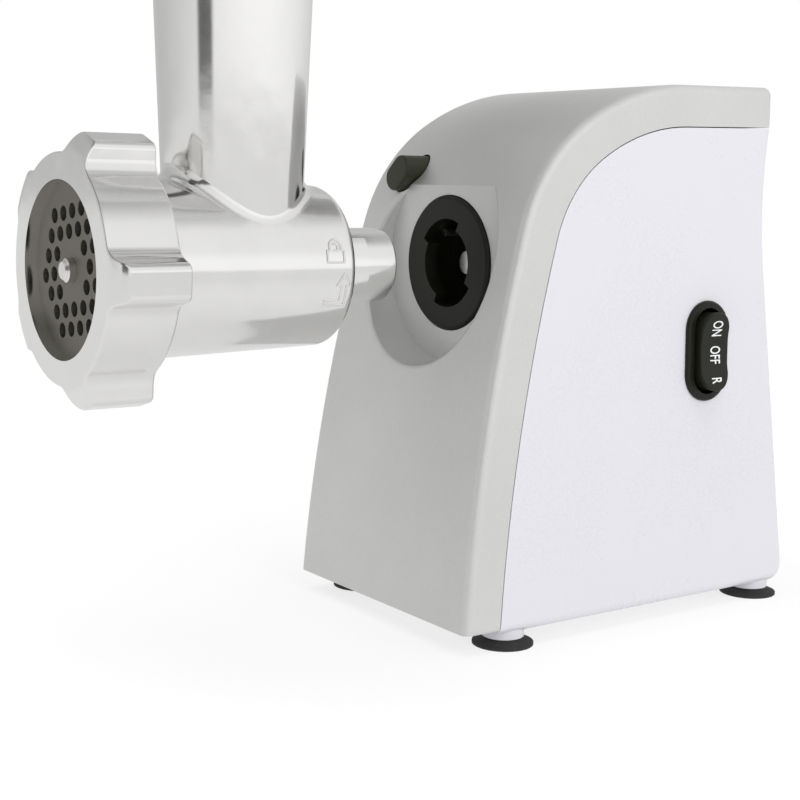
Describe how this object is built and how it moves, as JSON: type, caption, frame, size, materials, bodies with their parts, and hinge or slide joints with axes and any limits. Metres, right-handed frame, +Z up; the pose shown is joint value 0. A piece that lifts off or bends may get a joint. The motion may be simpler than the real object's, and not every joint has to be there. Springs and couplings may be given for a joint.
{
  "type": "electric meat grinder",
  "caption": "Upright motor unit with a bayonet socket, and a cast mincing head with feed tube, worm, knife, cutting plate and lobed nut, shown drawn out of it.",
  "frame": {"origin": "on the standing surface, in the middle of the whole object's box", "axes": "+Z up, -Y towards the cutting plate and the user, +X towards the switch side"},
  "size_m": [0.132, 0.2954, 0.2838],
  "materials": {
    "silver_paint": "satin metallic paint on plastic",
    "white_plastic": "moulded white, soft gloss",
    "black_plastic": "moulded black, fine grain",
    "rubber": "matt rubber",
    "cast_aluminium": "mirror-polished casting",
    "sheet_aluminium": "polished pressed sheet",
    "alloy_casting": "as-cast, unpainted",
    "tool_steel": "ground steel",
    "bright_steel": "polished steel",
    "zinc_steel": "zinc-plated",
    "lamination_steel": "stacked laminations",
    "copper": "varnished copper wire",
    "brass": "machined brass",
    "nylon": "natural nylon",
    "carbon": "pressed carbon"
  },
  "bodies": {
    "base_unit": {"front_cover": "silver_paint", "body_shell": "white_plastic", "base_plate": "white_plastic", "foot_pads": "rubber", "foot_screws": "zinc_steel", "cord_gland": "black_plastic", "socket_ring": "black_plastic", "ring_screws": "zinc_steel", "latch_spring": "zinc_steel", "switch_bezel": "black_plastic", "switch_body": "black_plastic", "switch_pin": "bright_steel", "gearbox_housing": "alloy_casting", "gearbox_plate": "alloy_casting", "gearbox_screws": "zinc_steel", "stator_core": "lamination_steel", "field_coils": "copper", "motor_bearings": "brass", "motor_bracket": "alloy_casting", "motor_screws": "zinc_steel", "brush_holders": "brass", "carbon_brushes": "carbon", "brush_springs": "zinc_steel"},
    "lock_button": {"lock_button": "black_plastic", "latch_pin": "bright_steel"},
    "switch_rocker": {"switch_rocker": "black_plastic"},
    "rotor": {"armature_core": "lamination_steel", "armature_winding": "copper", "armature_shaft": "bright_steel", "commutator": "copper", "cooling_fan": "black_plastic", "motor_pinion": "bright_steel"},
    "first_gear": {"first_wheel": "nylon", "first_pinion": "zinc_steel", "first_shaft": "bright_steel"},
    "second_gear": {"second_wheel": "nylon", "second_pinion": "zinc_steel", "second_shaft": "bright_steel"},
    "output_gear": {"output_wheel": "nylon", "output_shaft": "bright_steel"},
    "spigot_bush": {"spigot_bush": "nylon"},
    "head": {"head_casting": "cast_aluminium", "cutting_plate": "tool_steel", "thrust_washer": "nylon"},
    "ring_nut": {"ring_nut": "cast_aluminium"},
    "worm": {"worm": "cast_aluminium", "knife": "tool_steel", "worm_pin": "bright_steel"},
    "feed_tray": {"feed_tray": "sheet_aluminium"},
    "food_pusher": {"food_pusher": "white_plastic"}
  },
  "joints": [
    {"name": "head_slide", "type": "slide", "parent": "base_unit", "child": "spigot_bush", "axis": [0, 1, 0], "range_m": [0, 0.0458]},
    {"name": "head_turn", "type": "hinge", "parent": "spigot_bush", "child": "head", "pos_m": [0, -0.03667, 0.1372], "axis": [0, 1, 0], "range_deg": [0, 73]},
    {"name": "ring_nut_turn", "type": "hinge", "parent": "head", "child": "ring_nut", "pos_m": [0, -0.13267, 0.1372], "axis": [0, -1, 0], "range_deg": [0, 120]},
    {"name": "worm_spin", "type": "hinge", "parent": "head", "child": "worm", "pos_m": [0, -0.08067, 0.1372], "axis": [0, 1, 0], "continuous": true},
    {"name": "tray_lift", "type": "slide", "parent": "head", "child": "feed_tray", "axis": [0, 0, 1], "range_m": [0, 0.04]},
    {"name": "pusher_slide", "type": "slide", "parent": "feed_tray", "child": "food_pusher", "axis": [0, 0, 1], "range_m": [0, 0.06]},
    {"name": "lock_button_press", "type": "slide", "parent": "base_unit", "child": "lock_button", "axis": [0, 1, 0], "range_m": [0, 0.004], "stiffness_N_per_m": 900, "springref_m": -0.002, "deforming": ["latch_spring"]},
    {"name": "switch_rock", "type": "hinge", "parent": "base_unit", "child": "switch_rocker", "pos_m": [0.04736, 0.09753, 0.10423], "axis": [0, 1, 0], "range_deg": [-7, 7]},
    {"name": "rotor_spin", "type": "hinge", "parent": "base_unit", "child": "rotor", "pos_m": [0, 0.08933, 0.0482], "axis": [0, 1, 0], "continuous": true},
    {"name": "first_gear_spin", "type": "hinge", "parent": "base_unit", "child": "first_gear", "pos_m": [0.016, 0.05933, 0.07706], "axis": [0, 1, 0], "continuous": true},
    {"name": "second_gear_spin", "type": "hinge", "parent": "base_unit", "child": "second_gear", "pos_m": [-0.01577, 0.05933, 0.09452], "axis": [0, 1, 0], "continuous": true},
    {"name": "output_spin", "type": "hinge", "parent": "base_unit", "child": "output_gear", "pos_m": [0, 0.04933, 0.1372], "axis": [0, 1, 0], "continuous": true}
  ],
  "couplings": [
    {"joint": "first_gear_spin", "follows": "rotor_spin", "ratio": -0.22222},
    {"joint": "second_gear_spin", "follows": "rotor_spin", "ratio": 0.070707},
    {"joint": "output_spin", "follows": "rotor_spin", "ratio": -0.021212}
  ]
}
